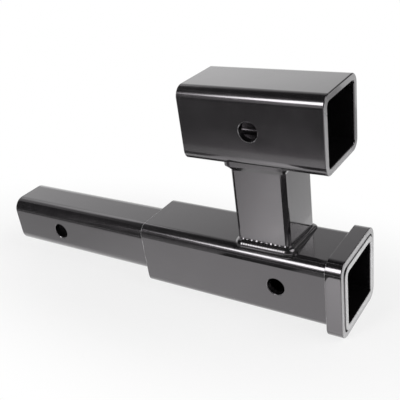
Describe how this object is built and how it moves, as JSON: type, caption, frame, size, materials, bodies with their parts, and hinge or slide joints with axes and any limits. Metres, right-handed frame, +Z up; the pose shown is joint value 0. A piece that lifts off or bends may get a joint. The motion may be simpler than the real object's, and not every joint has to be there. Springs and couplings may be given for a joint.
{
  "type": "dual hitch receiver",
  "caption": "Welded steel dual hitch receiver: a square pinned shank, a collared lower receiver tube and an upper receiver tube on a riser post, in glossy black powder coat.",
  "frame": {"origin": "centre of the shank's pin hole, on the shank's axis", "axes": "+X along the tubes from the shank towards the two mouths, +Y along the pin holes, +Z up towards the upper receiver tube"},
  "size_m": [0.384, 0.0746, 0.209],
  "materials": {
    "powder_coat": "gloss"
  },
  "bodies": {
    "root": {"shank_tube": "powder_coat", "lower_receiver_tube": "powder_coat", "mouth_collar": "powder_coat", "riser_post": "powder_coat", "upper_receiver_tube": "powder_coat", "riser_base_weld": "powder_coat", "riser_head_weld": "powder_coat", "shank_weld": "powder_coat"}
  },
  "joints": []
}
